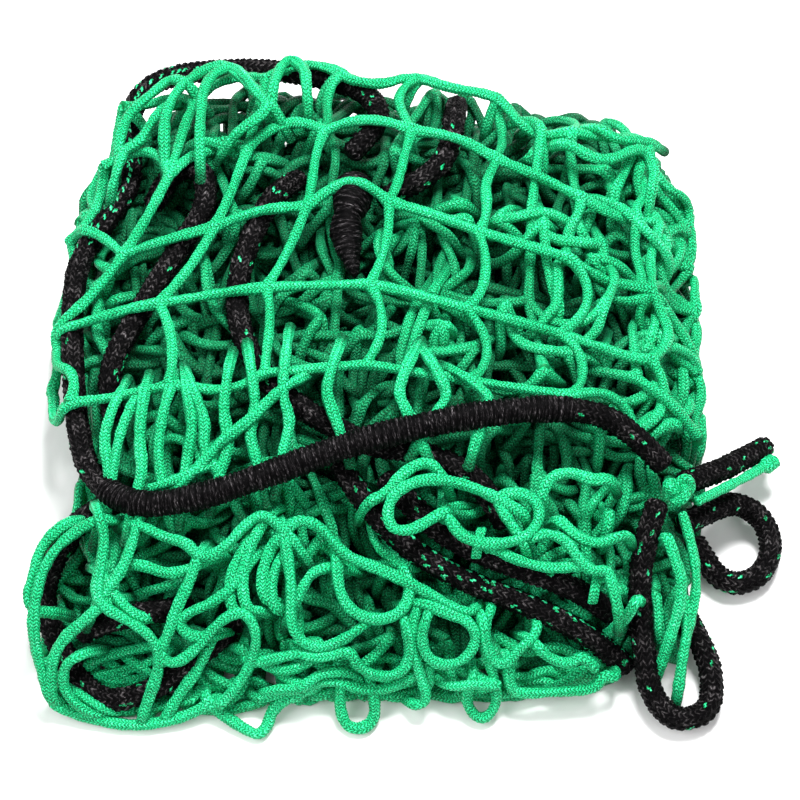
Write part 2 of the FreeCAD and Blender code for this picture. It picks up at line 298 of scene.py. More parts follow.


# ==== materials ====

# Loops and strands of the net's cord, listed one by one, under the piece that they belong to.
LOOSE_CORDS = {
    "net_front_loops": [
        [(-128, -85, 59), (-136, -89, 57), (-145, -96, 55), (-151, -105, 51), (-154, -115, 47),
         (-156, -126, 41), (-155, -137, 31), (-152, -147, 20), (-150, -155, 12)],
        [(-144, -86, 55), (-153, -95, 52), (-156, -106, 48), (-159, -116, 43), (-155, -122, 40)],
        [(-150, -154, 9), (-140, -158, 6), (-127, -161, 4), (-114, -163, 3), (-100, -162, 4),
         (-86, -159, 6), (-76, -154, 9)],
        [(-124, -120, 45), (-132, -127, 42), (-141, -132, 36), (-147, -139, 30), (-149, -148, 21),
         (-149, -155, 13)],
        [(-136, -139, 29), (-142, -142, 26), (-144, -149, 18), (-138, -156, 11), (-129, -160, 7)],
        [(-126, -84, 61), (-123, -93, 58), (-125, -105, 53), (-127, -115, 49), (-125, -121, 46),
         (-115, -126, 43), (-104, -131, 38), (-99, -137, 33), (-99, -144, 26), (-103, -152, 17),
         (-109, -163, 5)],
        [(-99, -137, 32), (-95, -142, 27), (-88, -141, 28), (-79, -134, 34), (-71, -127, 41),
         (-62, -123, 44), (-56, -127, 42), (-54, -134, 35), (-57, -142, 26), (-65, -151, 17),
         (-73, -157, 11)],
        [(-75, -132, 32), (-81, -142, 22), (-90, -151, 14), (-98, -162, 5)],
        [(-41, -91, 59), (-51, -82, 62), (-60, -88, 60), (-67, -96, 57), (-74, -101, 55), (-81, -101, 55),
         (-86, -95, 57), (-96, -93, 58), (-106, -88, 60)],
        [(-81, -101, 54), (-84, -110, 50), (-90, -121, 45), (-94, -131, 38), (-99, -139, 30)],
        [(-59, -122, 42), (-61, -112, 47), (-59, -101, 51), (-55, -91, 56), (-49, -82, 59)],
        [(-52, -117, 43), (-52, -105, 48), (-47, -94, 52), (-42, -87, 55)],
        [(-42, -90, 59), (-40, -102, 54), (-38, -115, 49), (-39, -127, 42), (-35, -134, 35),
         (-26, -137, 32), (-15, -134, 35), (-6, -129, 40)],
        [(-41, -90, 59), (-35, -85, 61), (-26, -88, 60), (-19, -95, 57), (-13, -101, 55), (-2, -105, 53),
         (11, -110, 51), (22, -115, 48), (32, -120, 45), (42, -124, 42)],
        [(-18, -100, 54), (-17, -115, 48), (-11, -124, 44), (1, -127, 41), (12, -124, 44), (16, -115, 47),
         (13, -107, 51)],
        [(-34, -114, 46), (-29, -106, 49), (-21, -104, 50)],
        [(-57, -101, 51), (-64, -112, 47), (-74, -119, 44), (-85, -123, 42), (-90, -127, 39),
         (-85, -132, 35), (-76, -132, 35)],
        [(-108, -84, 59), (-111, -95, 55), (-116, -107, 50), (-123, -115, 47)],
        [(-124, -108, 48), (-117, -118, 43), (-108, -125, 40)],
        [(-106, -103, 50), (-95, -107, 48), (-84, -105, 49), (-77, -101, 51)],
        [(-79, -153, 11), (-70, -159, 5), (-60, -165, 3), (-54, -168, 3), (-50, -163, 3), (-48, -157, 7),
         (-42, -153, 11), (-28, -149, 15)],
        [(-16, -146, 18), (-17, -156, 8), (-14, -163, 3), (-8, -165, 3), (-2, -162, 3), (0, -156, 8),
         (-3, -146, 18)],
        [(45, -145, 20), (41, -153, 11), (45, -159, 5), (50, -160, 4), (54, -157, 7), (56, -152, 12),
         (53, -142, 22), (49, -134, 30), (50, -126, 36), (53, -119, 38)],
        [(24, -124, 44), (20, -133, 36), (24, -141, 28), (34, -143, 26), (43, -139, 30), (46, -132, 36),
         (42, -127, 42), (32, -124, 44), (22, -120, 46)],
        [(49, -127, 40), (50, -135, 32), (54, -141, 26), (60, -142, 26), (66, -136, 32), (72, -132, 34),
         (74, -126, 35)],
        [(61, -141, 25), (61, -148, 17), (65, -152, 14), (84, -151, 15), (100, -150, 15), (104, -145, 20),
         (111, -145, 18)],
        [(73, -135, 33), (79, -140, 28), (89, -142, 26), (94, -139, 30), (101, -144, 24)],
        [(-35, -139, 31), (-23, -140, 30), (-12, -137, 33), (-8, -144, 26), (2, -147, 22), (13, -145, 24),
         (16, -137, 32), (13, -127, 42)],
        [(-39, -154, 11), (-30, -148, 17), (-19, -147, 19), (-7, -150, 15), (6, -150, 15),
         (18, -145, 20)],
        [(-58, -142, 26), (-46, -140, 28), (-35, -138, 30)],
        [(-66, -122, 41), (-67, -110, 46), (-62, -98, 51), (-56, -88, 55)],
        [(-47, -121, 41), (-48, -109, 46), (-43, -99, 51)],
        [(-138, -139, 8), (-128, -133, 12), (-114, -131, 16), (-100, -130, 20)],
        [(-136, -141, 4), (-124, -139, 7), (-110, -137, 10), (-94, -130, 14)],
        [(-133, -136, 4), (-122, -143, 5), (-108, -141, 6), (-96, -136, 10)],
        [(-130, -130, 6), (-120, -137, 8), (-112, -144, 6)],
        [(-120, -128, 10), (-112, -136, 12), (-102, -143, 10)],
        [(20, -118, 44), (16, -128, 38), (17, -137, 30), (20, -144, 22), (24, -154, 12), (18, -156, 10)],
        [(28, -130, 14), (40, -139, 10), (53, -134, 13), (66, -143, 7), (80, -137, 11), (94, -144, 7),
         (107, -138, 10)],
        [(34, -146, 4), (46, -142, 7), (58, -147, 4), (74, -142, 7), (88, -143, 4), (99, -138, 7),
         (108, -137, 4)],
        [(58, -128, 22), (70, -134, 18), (83, -130, 21), (96, -136, 16), (108, -132, 18)],
        [(-86, -139, 10), (-73, -147, 6), (-60, -141, 9), (-46, -149, 5), (-32, -143, 9), (-18, -150, 5),
         (-4, -144, 8), (10, -151, 4), (22, -145, 7)],
        [(-88, -148, 4), (-75, -153, 3), (-62, -147, 4), (-47, -151, 3), (-30, -146, 4), (-16, -150, 3),
         (-2, -145, 4), (12, -149, 3)],
        [(-78, -129, 16), (-64, -136, 13), (-50, -131, 16), (-37, -138, 12), (-24, -132, 16),
         (-10, -139, 12), (4, -133, 16), (18, -138, 12)],
    ],
    "net_gathers": [
        [(-123, -34, 67), (-126, -46, 63), (-123, -59, 59), (-125, -68, 54)],
        [(-115, -36, 69), (-119, -47, 65), (-121, -59, 59)],
        [(-108, -35, 73), (-109, -49, 68), (-107, -61, 64), (-109, -69, 60)],
        [(-97, -34, 76), (-99, -45, 72), (-100, -57, 67), (-98, -66, 63)],
        [(-86, -33, 78), (-84, -45, 74), (-86, -55, 69), (-87, -63, 66)],
        [(-82, -33, 79), (-78, -44, 76), (-79, -54, 72), (-74, -62, 68)],
        [(-69, -27, 81), (-70, -39, 78), (-67, -51, 73), (-69, -58, 69)],
        [(-57, -23, 83), (-55, -36, 79), (-58, -48, 75), (-56, -55, 72)],
        [(-46, -33, 84), (-57, -44, 80), (-70, -52, 75), (-78, -60, 71)],
        [(-42, -17, 86), (-43, -32, 82), (-39, -43, 78), (-41, -52, 75)],
        [(-21, -22, 85), (-23, -31, 82), (-20, -39, 80)],
        [(13, -23, 86), (10, -32, 83), (14, -40, 81)],
        [(29, -24, 86), (33, -33, 83), (29, -39, 81)],
        [(47, -29, 84), (52, -34, 82), (50, -40, 80)],
    ],
    "net_back_loops": [
        [(-104, 113, 79), (-104, 127, 78), (-99, 142, 76), (-90, 156, 70), (-79, 162, 70), (-69, 150, 78),
         (-61, 136, 84), (-53, 128, 85)],
        [(-86, 108, 85), (-86, 123, 84), (-86, 136, 82), (-82, 150, 78), (-72, 157, 75), (-65, 144, 83),
         (-59, 133, 86), (-53, 125, 87), (-56, 118, 88), (-66, 111, 87)],
        [(-127, 117, 69), (-125, 129, 68), (-118, 137, 71), (-110, 145, 71), (-104, 154, 68),
         (-96, 148, 75)],
        [(-51, 139, 84), (-48, 154, 79), (-43, 161, 75), (-36, 151, 81), (-35, 140, 84)],
        [(-127, 103, 67), (-124, 111, 69), (-116, 113, 73), (-112, 122, 74), (-106, 132, 74)],
        [(94, 105, 82), (103, 99, 80), (114, 100, 76), (126, 111, 70), (133, 112, 65), (136, 102, 63),
         (134, 91, 65)],
        [(109, 119, 76), (117, 114, 73), (129, 118, 66)],
    ],
    "net_rope_loops": [
        [(65, -84, 68), (55, -79, 70), (43, -74, 72), (31, -71, 73), (20, -71, 73), (9, -76, 71),
         (5, -84, 68), (7, -92, 65), (15, -93, 65), (23, -89, 66), (30, -85, 68)],
        [(-2, -78, 66), (5, -75, 67), (11, -68, 70), (18, -63, 72), (25, -62, 72), (30, -67, 70)],
        [(33, -87, 66), (38, -94, 63), (47, -98, 62), (59, -98, 62), (70, -94, 63), (75, -86, 66),
         (72, -78, 69), (63, -76, 70), (54, -78, 69), (60, -88, 66), (66, -96, 62)],
        [(53, -98, 58), (65, -104, 56), (80, -107, 54), (95, -105, 55)],
        [(72, -94, 62), (78, -93, 63), (86, -96, 62), (91, -103, 59), (97, -109, 56), (105, -108, 57),
         (107, -115, 54), (109, -122, 50)],
        [(107, -125, 22), (111, -124, 30), (115, -123, 38), (118, -119, 46)],
        [(76, -74, 66), (80, -67, 68), (89, -65, 69), (98, -69, 68), (105, -68, 68)],
        [(84, -86, 61), (92, -94, 59), (102, -96, 57), (112, -92, 59)],
        [(143, -113, 30), (143, -126, 28), (141, -136, 22), (139, -149, 14)],
        [(134, -90, 50), (138, -102, 46), (140, -108, 44), (139, -118, 38), (135, -129, 30),
         (131, -139, 18)],
    ],
}
LOOSE_END = [(-104, -71, 63), (-96, -69, 65), (-87, -67, 68), (-78, -63, 71), (-70, -58, 60)]
# A loose cord's end goes on and down into the bundle; low at the front it also turns inwards.
BURIED_STEPS = {
    "net_front_loops": [(0.008, 0.006), (0.016, 0.018)], "net_back_loops": [(0.008, 0.006), (0.016, 0.018)],
    "net_gathers": [(0.012, 0.003), (0.026, 0.012)], "net_rope_loops": [(0.004, 0.006), (0.007, 0.020)]}
TURNS_IN_BELOW, TURN_IN = 0.045, 1.6
BURIED_SHADE = (0.004, 0.014)      # painted shade, from its end: where a buried stretch is darkest, and where that stops


class Nodes:
    """A material's node tree, with short ways to add nodes and links."""

    def __init__(self, name):
        self.material = bpy.data.materials.new(name)
        self.material.use_nodes = True
        self.tree = self.material.node_tree
        self.shader = self.tree.nodes["Principled BSDF"]

    def add(self, kind, inputs=(), **settings):
        node = self.tree.nodes.new(kind)
        for key, value in settings.items():
            setattr(node, key, value)
        for socket, value in dict(inputs).items():
            self.put(node.inputs[socket], value)
        return node

    def put(self, socket, value):
        if isinstance(value, bpy.types.NodeSocket):
            self.tree.links.new(value, socket)
        else:
            socket.default_value = value

    def math(self, operation, *values):
        return self.add("ShaderNodeMath", enumerate(values), operation=operation).outputs[0]

    def ramp(self, factor, stops):
        node = self.add("ShaderNodeValToRGB", {"Fac": factor})
        points = node.color_ramp.elements
        while len(points) < len(stops):
            points.new(0.5)
        for point, (position, colour) in zip(points, stops):
            point.position = position
            point.color = (*colour, 1.0)
        return node.outputs["Color"]

    def noise(self, vector, scale, detail=2.0, roughness=0.5):
        node = self.add("ShaderNodeTexNoise", {
            "Vector": vector, "Scale": scale, "Detail": detail, "Roughness": roughness})
        return node.outputs["Fac"]

    def bump(self, height, distance, strength=1.0, below=None):
        node = self.add("ShaderNodeBump", {"Height": height, "Distance": distance, "Strength": strength})
        if below is not None:
            self.put(node.inputs["Normal"], below)
        return node.outputs["Normal"]

    def shade(self, **values):
        for name, value in values.items():
            self.put(self.shader.inputs[name.replace("_", " ")], value)
        return self.material


def knit_coordinates(nodes):
    """Stitch coordinates: across counts columns round the section, along counts stitches."""
    uv = nodes.add("ShaderNodeUVMap", uv_map="knit").outputs["UV"]
    parts = nodes.add("ShaderNodeSeparateXYZ", {"Vector": uv})
    return uv, parts.outputs["X"], parts.outputs["Y"]


def stitch_height(nodes, across, along, uneven):
    """The V stitches, two slanted legs in each column: their height, and coordinates along their yarn."""
    along = nodes.math("MULTIPLY_ADD", uneven, 1.3, along)
    fraction = nodes.math("FRACT", across)
    leg = nodes.math("ABSOLUTE", nodes.math("SUBTRACT", nodes.math("MULTIPLY", fraction, 2.0), 1.0))
    phase = nodes.math("SUBTRACT", along, nodes.math("MULTIPLY", leg, STITCH_SLOPE))
    wave = nodes.math("COSINE", nodes.math("MULTIPLY", phase, 2 * math.pi))
    stripe = nodes.math("MULTIPLY_ADD", wave, 0.5, 0.5)
    edge = nodes.math("SUBTRACT", 1.0, nodes.math("POWER", leg, 5.0))
    height = nodes.math("MULTIPLY", stripe, nodes.math("MULTIPLY_ADD", edge, 0.75, 0.25))
    half_column = nodes.math("FLOOR", nodes.math("MULTIPLY", across, 2.0))
    yarn = nodes.add("ShaderNodeCombineXYZ", {
        "X": nodes.math("MULTIPLY", leg, 1.3), "Y": nodes.math("MULTIPLY", phase, 4.5),
        "Z": nodes.math("MULTIPLY", half_column, 7.3)})
    return height, yarn.outputs[0]


def filaments(nodes, uv, across_scale, along_scale, scale):
    """Noise drawn out along the yarn."""
    stretched = nodes.add("ShaderNodeVectorMath", {0: uv, 1: (across_scale, along_scale, 1.0)},
                          operation="MULTIPLY").outputs["Vector"]
    return nodes.noise(stretched, scale, 3.0, 0.65)


def green_knit_material(name, tint=1.0, with_painted_shade=False):
    nodes = Nodes(name)
    uv, across, along = knit_coordinates(nodes)
    height, yarn = stitch_height(nodes, across, along, filaments(nodes, uv, 1.5, 0.6, 1.2))
    fibre = nodes.noise(yarn, 1.25, 3.0, 0.8)
    patch = nodes.noise(nodes.add("ShaderNodeTexCoord").outputs["Object"], 38.0)
    # painted light: the filament noise paints glints and the stitch height paints shade in the gaps between
    # stitches; patch is a random tone
    tone_and_painted_light = nodes.math("MULTIPLY_ADD", fibre, 1.35, nodes.math("MULTIPLY_ADD", height, 0.27, -0.335))
    tone_and_painted_light = nodes.math("MULTIPLY_ADD", patch, 0.18, nodes.math("SUBTRACT", tone_and_painted_light, 0.09))
    colour = nodes.ramp(tone_and_painted_light, [(place, tuple(tint * c for c in shade)) for place, shade in GREEN_SHADES])
    # painted shade: the colour is darkened by the depth attribute, deeper in the bundle
    if with_painted_shade:
        depth = nodes.add("ShaderNodeAttribute", attribute_name="depth").outputs["Fac"]
        painted_shade = nodes.ramp(depth, PAINTED_SHADE_BY_DEPTH)
        mix = nodes.add("ShaderNodeMix", {0: 1.0, 6: colour, 7: painted_shade}, data_type="RGBA", blend_type="MULTIPLY")
        colour = mix.outputs[2]
    normal = nodes.bump(height, 0.0006, 0.9)
    normal = nodes.bump(fibre, 0.0003, 0.7, normal)
    roughness = nodes.math("MULTIPLY_ADD", fibre, -0.25, 0.60)
    return nodes.shade(Base_Color=colour, Roughness=roughness, Normal=normal, Specular_IOR_Level=0.14)


def black_knit_material():
    nodes = Nodes("black_rope_cover")
    uv, across, along = knit_coordinates(nodes)
    height, yarn = stitch_height(nodes, across, along, filaments(nodes, uv, 1.5, 0.6, 1.2))
    fibre = nodes.noise(yarn, 1.7, 3.0, 0.75)
    stitch = nodes.add("ShaderNodeTexWhiteNoise", {
        "Vector": nodes.add("ShaderNodeVectorMath", {0: uv}, operation="FLOOR").outputs["Vector"]},
        noise_dimensions="3D").outputs["Value"]
    # painted light: the filament noise and the stitch height paint highlights on the strands; stitch is a
    # random tone of each stitch
    tone_and_painted_light = nodes.math("MULTIPLY_ADD", fibre, 1.10, nodes.math("MULTIPLY_ADD", height, 0.26, -0.29))
    tone_and_painted_light = nodes.math("MULTIPLY_ADD", stitch, 0.18, tone_and_painted_light)
    normal = nodes.bump(fibre, 0.0005, 0.9)
    return nodes.shade(Base_Color=nodes.ramp(tone_and_painted_light, ROPE_SHADES), Roughness=0.5, Normal=normal,
                       Specular_IOR_Level=0.04)


def twine_material():
    nodes = Nodes("black_whipping_twine")
    uv, across, along = knit_coordinates(nodes)
    fibre = filaments(nodes, uv, 0.9, 3.2, 3.0)
    coarse = filaments(nodes, uv, 0.45, 0.8, 1.6)
    turn = nodes.math("FRACT", nodes.math("MULTIPLY_ADD", across, 1 / TWINE_WALES, along))
    groove = nodes.math("POWER", nodes.math("ABSOLUTE", nodes.math("MULTIPLY_ADD", turn, 2.0, -1.0)), 3.0)
    # painted light: the noises paint highlights on the twine, and groove paints shade between the turns
    tone_and_painted_light = nodes.math("MULTIPLY_ADD", coarse, 0.60, nodes.math("MULTIPLY_ADD", fibre, 1.20, -0.39))
    tone_and_painted_light = nodes.math("MULTIPLY_ADD", groove, -0.16, tone_and_painted_light)
    normal = nodes.bump(fibre, 0.0004, 0.8)
    return nodes.shade(Base_Color=nodes.ramp(tone_and_painted_light, TWINE_SHADES), Roughness=0.5, Normal=normal,
                       Specular_IOR_Level=0.04)


def floor_material():
    nodes = Nodes("pale_floor")
    patch = nodes.noise(nodes.add("ShaderNodeTexCoord").outputs["Object"], 3.0)
    return nodes.shade(Base_Color=nodes.ramp(patch, FLOOR_SHADES), Roughness=0.85, Specular_IOR_Level=0.2)


# ==== routes and tubes ====

def spline_points(name, control):
    """Points of the smooth NURBS line that the control points give."""
    curve = bpy.data.curves.new(name + "_route", "CURVE")
    curve.dimensions = "3D"
    curve.resolution_u = ROUTE_RESOLUTION
    spline = curve.splines.new("NURBS")
    spline.points.add(len(control) - 1)
    for point, place in zip(spline.points, control):
        point.co = (*place, 1.0)
    spline.order_u = 3
    spline.use_endpoint_u = True
    holder = add_object(name + "_route", curve)
    bpy.context.view_layer.update()
    mesh = bpy.data.meshes.new_from_object(holder)
    points = np.array([v.co for v in mesh.vertices], float)
    bpy.data.objects.remove(holder)
    bpy.data.curves.remove(curve)
    bpy.data.meshes.remove(mesh)
    return points


def length_along(points):
    steps = np.linalg.norm(np.diff(points, axis=0), axis=1)
    return np.concatenate([[0.0], np.cumsum(steps)])


def evenly(points, step):
    """The same line with rings a step apart, and the length at each."""
    place = length_along(points)
    wanted = np.linspace(0.0, place[-1], max(4, int(round(place[-1] / step)) + 1))
    return np.stack([np.interp(wanted, place, points[:, k]) for k in range(3)], axis=1), wanted


def frames_along(centres):
    """Two directions across the line at each point, turning as little as the line allows."""
    tangents = np.gradient(centres, axis=-2)
    tangents /= np.linalg.norm(tangents, axis=-1, keepdims=True) + 1e-12
    across = np.cross(tangents[..., 0, :], [0.3, 0.2, 1.0])
    across /= np.linalg.norm(across, axis=-1, keepdims=True) + 1e-12
    first = np.empty_like(centres)
    for k in range(centres.shape[-2]):
        tangent = tangents[..., k, :]
        across = across - (across * tangent).sum(-1, keepdims=True) * tangent
        across /= np.linalg.norm(across, axis=-1, keepdims=True) + 1e-12
        first[..., k, :] = across
    return first, np.cross(tangents, first)


class TubeMesh:
    """Tubes gathered into one closed mesh, with stitch coordinates for the material."""

    def __init__(self, wales, stitch):
        self.wales, self.stitch = wales, stitch
        self.points, self.faces, self.uvs, self.marks, self.depths, self.count = [], [], [], [], [], 0

    def add(self, centres, first, second, along, radii, marks=None):
        """radii has one row for each ring and one column for each point round it."""
        rings, sides = radii.shape
        angle = np.arange(sides) / sides * 2 * math.pi
        cosine, sine = np.cos(angle)[None, :, None], np.sin(angle)[None, :, None]
        spread = cosine * first[:, None] + sine * second[:, None]
        self.points.append((centres[:, None] + radii[..., None] * spread).reshape(-1, 3))
        ring, side = np.meshgrid(np.arange(rings - 1), np.arange(sides), indexing="ij")
        after = (side + 1) % sides
        quads = np.stack([ring * sides + side, ring * sides + after,
                          (ring + 1) * sides + after, (ring + 1) * sides + side], axis=-1)
        self.faces.append(quads.reshape(-1, 4) + self.count)
        u = np.stack([side, side + 1, side + 1, side], axis=-1) * (self.wales / sides)
        v = np.stack([along[ring], along[ring], along[ring + 1], along[ring + 1]], axis=-1) / self.stitch
        self.uvs.append(np.stack([u, v], axis=-1).reshape(-1, 2))
        self.marks.append(np.zeros(quads.size // 4, int) if marks is None else marks.ravel())
        for start, turn in ((0, -1), ((rings - 1) * sides, 1)):
            cap = self.count + start + np.arange(sides)[::turn]
            self.faces.append(cap[None, :])
            self.uvs.append(np.zeros((sides, 2)))
            self.marks.append(np.zeros(1, int))
        self.count += rings * sides

    def build(self, name, materials):
        mesh = bpy.data.meshes.new(name)
        points = np.concatenate(self.points)
        sizes = np.concatenate([np.full(len(f), f.shape[1]) for f in self.faces])
        corners = np.concatenate([f.ravel() for f in self.faces])
        mesh.vertices.add(len(points))
        mesh.vertices.foreach_set("co", points.ravel())
        mesh.loops.add(len(corners))
        mesh.loops.foreach_set("vertex_index", corners.astype(np.int32))
        mesh.polygons.add(len(sizes))
        mesh.polygons.foreach_set("loop_start", (np.cumsum(sizes) - sizes).astype(np.int32))
        mesh.polygons.foreach_set("use_smooth", np.ones(len(sizes), bool))
        mesh.polygons.foreach_set("material_index", np.concatenate(self.marks).astype(np.int32))
        if self.depths:
            attribute = mesh.attributes.new("depth", "FLOAT", "POINT")
            attribute.data.foreach_set("value", np.concatenate(self.depths).astype(np.float32))
        layer = mesh.uv_layers.new(name="knit")
        layer.data.foreach_set("uv", np.concatenate(self.uvs).ravel())
        mesh.update()
        mesh.validate()
        for material in materials:
            mesh.materials.append(material)
        return add_object(name, mesh)


def rounded_ends(along, length):
    """Share of the full radius at each ring: a dome over a given length at both ends."""
    inside = np.clip(np.minimum(along, along[-1] - along) / length, 0.0, 1.0)
    return np.sqrt(1.0 - (1.0 - inside) ** 2 * 0.97)


def finish_piece(tube, name, materials, node):
    """Makes the gathered tubes an object that stands for the CAD node."""
    piece = tube.build(name, materials)
    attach(piece, "root")
    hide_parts(node)
    return piece


def stitch_relief(along, sides, wales, stitch):
    """The same V stitches as in the material, as heights, with the leg that each face belongs to."""
    across = np.arange(sides)[None, :] / sides * wales
    leg = np.abs(2 * (across % 1.0) - 1)
    phase = along[:, None] / stitch - STITCH_SLOPE * leg
    wave = 0.5 + 0.5 * np.cos(2 * math.pi * phase)
    return wave * (0.25 + 0.75 * (1 - leg ** 4)), phase, across


# ==== ropes and ties ====

def rope_radii(along, radius, flecks):
    """Knitted cover: relief of the stitches, uneven from stitch to stitch, and its green threads."""
    relief, phase, across = stitch_relief(along, ROPE_SIDES, ROPE_WALES, ROPE_STITCH)
    course = np.floor(phase + 0.5).astype(int)
    half = np.floor(across * 2).astype(int)
    table = rng.random((ROPE_WALES * 2, 400))
    chance = table[np.broadcast_to(half, course.shape), course % 400]
    height = ROPE_RELIEF * relief * (0.55 + 0.6 * chance)
    in_row = np.isin(half, FLECK_COLUMNS) & (course % 2 == 0) & (flecks > ROW_FROM)
    marks = ((chance < flecks) | in_row) & (relief > 0.28)
    return radius - ROPE_RELIEF * 0.62 + height, marks[:-1].astype(int)


def make_rope(name):
    line = spline_points(name, metres(ROUTES[name]))
    centres, along = evenly(line, ROPE_STEP)
    radii, marks = rope_radii(along, ROPE_DIAMETER / 2, FLECKS.get(name, OTHER_FLECKS))
    dome = rounded_ends(along, 0.003)
    middle = len(dome) // 2
    dome[:middle] = np.where(name in GOES_ON_FROM_ITS_START, 1.0, dome[:middle])
    dome[middle:] = np.where(name in GOES_ON_FROM_ITS_END, 1.0, dome[middle:])
    tube = TubeMesh(ROPE_WALES, ROPE_STITCH)
    tube.add(centres, *frames_along(centres), along, radii * dome[:, None], marks)
    return finish_piece(tube, name + "_cover", [BLACK_KNIT, GREEN_KNIT], name), line


def uneven_turns(along, pitch):
    """Places along the winding, drawn out and pressed together, so that no two turns are alike."""
    return along + pitch * (0.35 * np.sin(along * 210) + 0.18 * np.sin(along * 530 + 1.0))


def wound_radii(along, base, thickness, pitch, sides):
    """Turns of twine side by side, a little uneven."""
    turn = along[:, None] / pitch + np.arange(sides)[None, :] / sides
    which = np.floor(turn).astype(int)
    rise = np.sqrt(np.clip(1 - (2 * (turn % 1.0) - 1) ** 2, 0, 1))
    uneven = rng.uniform(0.65, 1.0, which.max() + 2)[which]
    return base + thickness * (rise * uneven - 0.25)


def make_whipping(line):
    """Twine wound round the front run, from one share of its length to another."""
    place = length_along(line)
    chosen = (place > WHIPPED_SHARE[0] * place[-1]) & (place < WHIPPED_SHARE[1] * place[-1])
    centres, along = evenly(line[chosen], TWINE_PITCH / 5)
    turns = uneven_turns(along, TWINE_PITCH)
    radii = wound_radii(turns, ROPE_DIAMETER / 2, WHIPPING_THICKNESS, TWINE_PITCH, 32)
    radii *= 1 + 0.03 * np.sin(along * 150)[:, None] - 0.12 * (1 - rounded_ends(along, 0.006))[:, None]
    tube = TubeMesh(TWINE_WALES, TWINE_PITCH)
    tube.add(centres, *frames_along(centres), turns, radii)
    return finish_piece(tube, "whipping_turns", [TWINE], "rope_whipping")


def make_splice():
    """The thick lump where two stretches are joined, wound over with twine, thinner towards the front."""
    line = spline_points("splice", metres(SPLICE_ROUTE))
    centres, along = evenly(line, SPLICE_PITCH / 5)
    shape = np.interp(along / along[-1], *zip(*SPLICE_SHAPE))
    radii = wound_radii(along, SPLICE_DIAMETER / 2 - 0.0014, SPLICE_TURN, SPLICE_PITCH, SPLICE_SIDES)
    around, on = np.arange(SPLICE_SIDES)[None, :] / SPLICE_SIDES * 2 * math.pi, along[:, None]
    lumpy = 1 + 0.07 * np.sin(around * 2 + on * 190) + 0.03 * np.sin(on * 600)
    radii = radii * lumpy * (shape * rounded_ends(along, 0.006))[:, None]
    tube = TubeMesh(TWINE_WALES, SPLICE_PITCH)
    tube.add(centres, *frames_along(centres), along, radii)
    return finish_piece(tube, "splice_lump", [TWINE], "rope_splice"), line


def soft_section(along, sides):
    """How a soft cord's section differs from round: flatter here and there, and of uneven thickness."""
    phase = rng.uniform(0, 2 * math.pi, 5)
    around = np.arange(sides)[None, :] / sides * 2 * math.pi
    along = along[:, None]
    flat = SOFT_FLAT * (1 + 0.6 * np.sin(along * 190 + phase[0]))
    thick = SOFT_THICK * (np.sin(along * 420 + phase[1]) + 0.8 * np.sin(along * 930 + phase[2]))
    return 1 + thick + flat * np.cos(2 * (around + phase[3] + 0.8 * np.sin(along * 110 + phase[4])))


def net_relief(along, sides):
    return stitch_relief(along, sides, NET_WALES, NET_STITCH)[0]


def add_knitted_cord(tube, line, diameter, step=0.0005, tip=1.0, sides=DRAPE_SIDES):
    centres, along = evenly(line, step)
    radii = diameter / 2 + DRAPE_RELIEF * (net_relief(along, sides) - 0.6)
    tapering = np.interp(along[-1] - along, [0.0, 0.006, 0.010], [tip, tip, 1.0])
    width = rounded_ends(along, 0.0015) * tapering
    tube.add(centres, *frames_along(centres), along, radii * width[:, None] * soft_section(along, sides))
    return along


def make_tie_strand(name):
    line = spline_points(name, metres(ROUTES[name]))
    tube = TubeMesh(NET_WALES, NET_STITCH)
    add_knitted_cord(tube, line, TIE_DIAMETER, tip=TIE_TIPS[name])
    return finish_piece(tube, name + "_cord", [GREEN_TIE], name), line


def make_tie_knot():
    """A tight overhand knot: a trefoil of the tie cord."""
    t = np.linspace(0.0, 2 * math.pi, 300)
    x, y, z = np.sin(t) + 2 * np.sin(2 * t), np.cos(t) - 2 * np.cos(2 * t), -1.1 * np.sin(3 * t)
    loop = np.stack([x, y, z], axis=1)
    tube = TubeMesh(NET_WALES, NET_STITCH)
    add_knitted_cord(tube, loop * KNOT_SCALE + np.array(TIE_KNOT_CENTRE), KNOT_CORD)
    return finish_piece(tube, "corner_knot", [GREEN_TIE], "tie_corner_knot")


def make_lacing(node):
    """A flat strip of knitting laid over the rope and down both its sides."""
    low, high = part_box(node)
    middle, reach = (low + high) / 2, (high.y - low.y) / 2
    share = np.linspace(-1.0, 1.0, 70)
    arch = np.stack([middle.x + 0.0015 * share, middle.y + reach * share,
                     high.z + 0.0005 - 0.007 * np.abs(share) ** 2.6], axis=1)
    centres, along = evenly(arch, 0.0004)
    side = np.arange(LACING_SIDES) / LACING_SIDES * 2 * math.pi
    flat = np.hypot(LACING_WIDTH / 2 * np.cos(side), LACING_THICKNESS / 2 * np.sin(side))
    level = np.array([1.0, 0.0, 0.0])
    tangents = np.gradient(centres, axis=0)
    upward = np.cross(level, tangents / np.linalg.norm(tangents, axis=1, keepdims=True))
    radii = (flat + 0.0002 * net_relief(along, LACING_SIDES)) * rounded_ends(along, 0.001)[:, None]
    tube = TubeMesh(NET_WALES, NET_STITCH)
    tube.add(centres, np.broadcast_to(level, centres.shape), upward, along, radii)
    return finish_piece(tube, node + "_strap", [GREEN_TIE], node)


# ==== the net's sheet, its folds and its fall ====

def top_of_pile(x, y):
    """Height of the folded bundle at each place: rounded sides, a steep rear and a long front slope."""
    side = np.sqrt(np.clip(1 - np.clip(np.abs(x) / BUNDLE_REACH, 0, 1) ** 4, 0, 1))
    rear = BUNDLE_REAR - 0.12 * np.abs(x + 0.030)
    back = BUNDLE_HEIGHT * np.sqrt(np.clip(1 - np.clip(np.abs(y) / rear, 0, 1) ** 9, 0, 1))
    front = np.interp(y, *zip(*FRONT_SLOPE))
    return side * np.where(y > 0, back, front)


